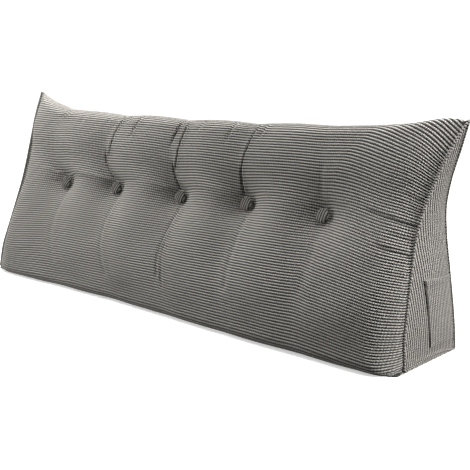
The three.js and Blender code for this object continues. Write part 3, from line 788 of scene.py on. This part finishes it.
# Adds a node with its settings; each input is a value or another node's output
def addNode(tree, kind, inputs=None, **settings):
    node = tree.nodes.new(kind)
    for name, value in settings.items():
        setattr(node, name, value)
    for name, value in (inputs or {}).items():
        if isinstance(value, bpy.types.NodeSocket):
            tree.links.new(value, node.inputs[name])
        else:
            node.inputs[name].default_value = value
    return node


# Corduroy of polyester pile, woven in ribs and cut into short tufts: light, soft rib backs broken into grains, and
# a pale sheen where the pile is seen edge on.
# The furrows and the cuts between grains take the base cloth's colour darkened into painted shade, near black in an
# open furrow
def ribbedCorduroy(name, pile, groundAndShade, openGroundAndShade, waleMm, grainMm, groundShadeWidth, grainFloor, grainRelief):
    material = bpy.data.materials.new(name)
    material.use_nodes = True
    tree = material.node_tree
    tree.nodes.clear()
    out = addNode(tree, "ShaderNodeOutputMaterial")
    shader = addNode(tree, "ShaderNodeBsdfPrincipled", {
        "Roughness": 0.92, "IOR": 1.46, "Sheen Weight": 0.35, "Sheen Roughness": 0.45,
        "Sheen Tint": linear("#d8d4cc"), "Specular IOR Level": 0.25,
    })
    tree.links.new(shader.outputs[0], out.inputs[0])
    uv = addNode(tree, "ShaderNodeUVMap", uv_map="cloth")
    place = addNode(tree, "ShaderNodeTexCoord")
    split = addNode(tree, "ShaderNodeSeparateXYZ", {0: uv.outputs[0]})
    wobble = addNode(tree, "ShaderNodeTexNoise", {
        "Vector": place.outputs["Object"], "Scale": 90.0, "Detail": 2.0})
    wobbleMm = addNode(tree, "ShaderNodeMath", {0: wobble.outputs["Fac"], 1: 0.5}, operation="SUBTRACT")
    uShift = addNode(tree, "ShaderNodeMath", {0: wobbleMm.outputs[0], 1: 0.0035, 2: split.outputs[0]},
                     operation="MULTIPLY_ADD")
    grain = addNode(tree, "ShaderNodeMath", {0: uShift.outputs[0], 1: grainMm * mm / 2}, operation="PINGPONG")
    wale = addNode(tree, "ShaderNodeMath", {0: split.outputs[1], 1: waleMm * mm / 2}, operation="PINGPONG")
    furrow = addNode(tree, "ShaderNodeAttribute", attribute_name="furrow")
    grainLow = addNode(tree, "ShaderNodeMapRange", {
        "Value": furrow.outputs["Fac"], "From Min": 0.3, "To Min": grainFloor[0], "To Max": grainFloor[1]})
    grainUp = addNode(tree, "ShaderNodeMapRange", {
        "Value": grain.outputs[0], "From Max": grainMm * mm * 0.3, "To Min": grainLow.outputs[0]},
        interpolation_type="SMOOTHSTEP")
    groundShadeHalf = addNode(tree, "ShaderNodeMapRange", {
        "Value": furrow.outputs["Fac"],
        "To Min": waleMm * mm * groundShadeWidth[0], "To Max": waleMm * mm * groundShadeWidth[1]})
    waleUp = addNode(tree, "ShaderNodeMapRange", {
        "Value": wale.outputs[0], "From Max": groundShadeHalf.outputs[0]}, interpolation_type="SMOOTHSTEP")
    # Mask of the pile: where it falls to 0, the painted shade of the furrows and grain cuts shows
    raised = addNode(tree, "ShaderNodeMath", {0: grainUp.outputs[0], 1: waleUp.outputs[0]}, operation="MULTIPLY")
    grainRise = addNode(tree, "ShaderNodeMapRange", {
        "Value": grain.outputs[0], "From Max": grainMm * mm * 0.4, "To Min": 1 - grainRelief},
        interpolation_type="SMOOTHSTEP")
    relief = addNode(tree, "ShaderNodeMath", {0: grainRise.outputs[0], 1: waleUp.outputs[0]}, operation="MULTIPLY")
    # Painted shade: the base cloth's colour, darkened, fills the furrows and the cuts between grains, and turns
    # near black where a furrow is open
    groundAndShadeTone = addNode(tree, "ShaderNodeMix", {
        0: furrow.outputs["Fac"], 6: linear(groundAndShade), 7: linear(openGroundAndShade)}, data_type="RGBA")
    fibre = addNode(tree, "ShaderNodeTexNoise", {
        "Vector": place.outputs["Object"], "Scale": 900.0, "Detail": 3.0, "Roughness": 0.7})
    cloud = addNode(tree, "ShaderNodeTexNoise", {
        "Vector": place.outputs["Object"], "Scale": 9.0, "Detail": 3.0})
    tone = addNode(tree, "ShaderNodeMix", {
        0: raised.outputs[0], 6: groundAndShadeTone.outputs[2], 7: linear(pile)}, data_type="RGBA")
    fibreTone = addNode(tree, "ShaderNodeMapRange", {"Value": fibre.outputs["Fac"], "To Min": 0.72, "To Max": 1.28})
    cloudTone = addNode(tree, "ShaderNodeMapRange", {"Value": cloud.outputs["Fac"], "To Min": 0.88, "To Max": 1.12})
    bothTone = addNode(tree, "ShaderNodeMath", {0: fibreTone.outputs[0], 1: cloudTone.outputs[0]},
                       operation="MULTIPLY")
    worn = addNode(tree, "ShaderNodeVectorMath", {0: tone.outputs[2], 3: bothTone.outputs[0]}, operation="SCALE")
    tree.links.new(worn.outputs[0], shader.inputs["Base Color"])
    fine = addNode(tree, "ShaderNodeMath", {0: fibre.outputs["Fac"], 1: 0.25, 2: relief.outputs[0]},
                   operation="MULTIPLY_ADD")
    bump = addNode(tree, "ShaderNodeBump", {"Strength": 0.9, "Distance": 0.0018, "Height": fine.outputs[0]})
    tree.links.new(bump.outputs[0], shader.inputs["Normal"])
    return material


# Colours: the pile, then the base cloth darkened as painted shade in the furrows and between grains, then the
# near-black painted shadow of open furrows. After them: rib and grain pitch, the shaded band's width and the grain
# floor for closed and open furrows, and grain relief
coverCloth = ribbedCorduroy("corduroy, grey polyester pile", "#bdb9b3", "#474441", "#0a0a09",
                            cover["walePitch"], 5.0, (0.32, 0.5), (0.3, 0.72), 0.5)
# The button's rib furrows are painted near black: painted shadow between the ribs
buttonCloth = ribbedCorduroy("corduroy stretched over a button", "#a09c97", "#0b0a0a", "#0b0a0a",
                             button["ribPitch"], 3.4, (0.5, 0.5), (0.8, 0.8), 0.2)
panelCloth = ribbedCorduroy("corduroy, end panels, ribs upright", "#a29e99", "#3f3c3a", "#3f3c3a",
                            cover["walePitch"], 5.0, (0.4, 0.4), (0.7, 0.7), 0.3)
pocketCloth = ribbedCorduroy("corduroy, doubled and hemmed", "#9c9893", "#4b4845", "#4b4845",
                             cover["walePitch"], 5.0, (0.34, 0.34), (0.7, 0.7), 0.4)

coverPiece.data.materials.append(coverCloth)
coverPiece.data.materials.append(panelCloth)
for piece in buttons:
    piece.data.materials.append(buttonCloth)
pocketPiece.data.materials.append(pocketCloth)


studio = dict(
    cameraAt=(1.54188, -1.65824 + cover["shiftY"] * mm, 0.67382),
    right=(0.76369, 0.64558, 0.0), up=(-0.13897, 0.16440, 0.97656), back=(0.63045, -0.74579, 0.21527),
    lens=70.89, sensor=36.0,
    floorColour="#f4f3f1", worldColour="#ffffff", worldStrength=0.04,
    floorReach=5200, wallReach=9000, wallHeight=5000,
)


def plainMaterial(name, colour, roughness):
    material = bpy.data.materials.new(name)
    material.use_nodes = True
    shader = material.node_tree.nodes["Principled BSDF"]
    shader.inputs["Base Color"].default_value = linear(colour)
    shader.inputs["Roughness"].default_value = roughness
    return material


# White floor that curves up into a round wall far behind whatever side is looked at: a quarter
# ellipse turned about the upright axis
def buildFloor():
    turn = np.linspace(0, 2 * pi, 96, endpoint=False)[None, :]
    rise = np.linspace(0, pi / 2, 24)[:, None]
    flat = np.linspace(0, 1, 6)[:-1, None] * studio["floorReach"]
    reach = np.concatenate([flat[1:], mix(studio["floorReach"], studio["wallReach"], np.sin(rise))])
    height = np.concatenate([0 * flat[1:], studio["wallHeight"] * (1 - np.cos(rise))])
    rim = np.stack(np.broadcast_arrays(reach * np.cos(turn), reach * np.sin(turn), height - 0.1), -1)
    n, m = rim.shape[:2]
    ids = np.arange(n * m).reshape(n, m)
    around = np.concatenate([ids, ids[:, :1]], 1)
    centre = np.stack([ids[0], np.roll(ids[0], -1), np.full(m, n * m)], -1)
    points = np.concatenate([rim.reshape(-1, 3), [[0, 0, -0.1]]])
    floor = makeMesh("floor", points, [gridQuads(around), centre])
    material = plainMaterial("matt white studio floor", studio["floorColour"], 0.9)
    tree = material.node_tree
    place = addNode(tree, "ShaderNodeTexCoord")
    away = addNode(tree, "ShaderNodeVectorMath", {0: place.outputs["Object"]}, operation="LENGTH")
    glow = addNode(tree, "ShaderNodeMapRange", {
        "Value": away.outputs["Value"], "From Min": 0.9, "From Max": 3.2, "To Min": 0.5, "To Max": 1.0},
        interpolation_type="SMOOTHSTEP")
    shader = tree.nodes["Principled BSDF"]
    shader.inputs["Emission Color"].default_value = (1, 1, 1, 1)
    tree.links.new(glow.outputs[0], shader.inputs["Emission Strength"])
    floor.data.materials.append(material)
    floor.visible_diffuse = False


def buildStudio():
    buildFloor()
    world = bpy.data.worlds.new("soft white room")
    bpy.context.scene.world = world
    world.use_nodes = True
    background = world.node_tree.nodes["Background"]
    background.inputs[0].default_value = linear(studio["worldColour"])
    background.inputs[1].default_value = studio["worldStrength"]
    lights = (  # name, place, size, power, what it points at
        ("far left", (-2.6, -1.5, 0.5), 0.9, 48, (0.0, 0.0, 0.2)),
        ("over the left half", (-0.60, -0.18, 1.08), 0.5, 8.6, (0.0, 0.0, 0.2)),
        ("over the right half", (0.76, -0.04, 1.10), 0.5, 7.0, (0.1, 0.0, 0.2)),
        ("above and behind", (-0.4, 1.3, 2.8), 0.9, 110, (0.0, 0.0, 0.2)),
        ("side", (3.0, 1.0, 1.3), 1.2, 135, (0.6, 0.0, 0.2)),
    )
    for name, at, size, power, target in lights:
        light = bpy.data.lights.new(name, "AREA")
        light.size, light.energy = size, power
        lamp = bpy.data.objects.new(name, light)
        bpy.context.scene.collection.objects.link(lamp)
        lamp.location = at
        lamp.visible_camera = False
        lamp.rotation_mode = "QUATERNION"
        lamp.rotation_quaternion = (Vector(target) - Vector(at)).to_track_quat("-Z", "Y")
    camera = bpy.data.cameras.new("photo view")
    camera.sensor_width, camera.lens = studio["sensor"], studio["lens"]
    camera.clip_start, camera.clip_end = 0.05, 50
    cameraPiece = bpy.data.objects.new("photo view", camera)
    bpy.context.scene.collection.objects.link(cameraPiece)
    axes = Matrix((studio["right"], studio["up"], studio["back"])).transposed()
    cameraPiece.matrix_world = Matrix.Translation(studio["cameraAt"]) @ axes.to_4x4()
    bpy.context.scene.camera = cameraPiece


# Every function above works in the source's own place: the finished part is centred on its bounds
for piece in [coverPiece, pocketPiece] + buttons:
    piece.data.transform(Matrix.Translation((0, cover["shiftY"] * mm, 0)))

buildStudio()
bpy.context.scene.view_settings.view_transform = "Standard"
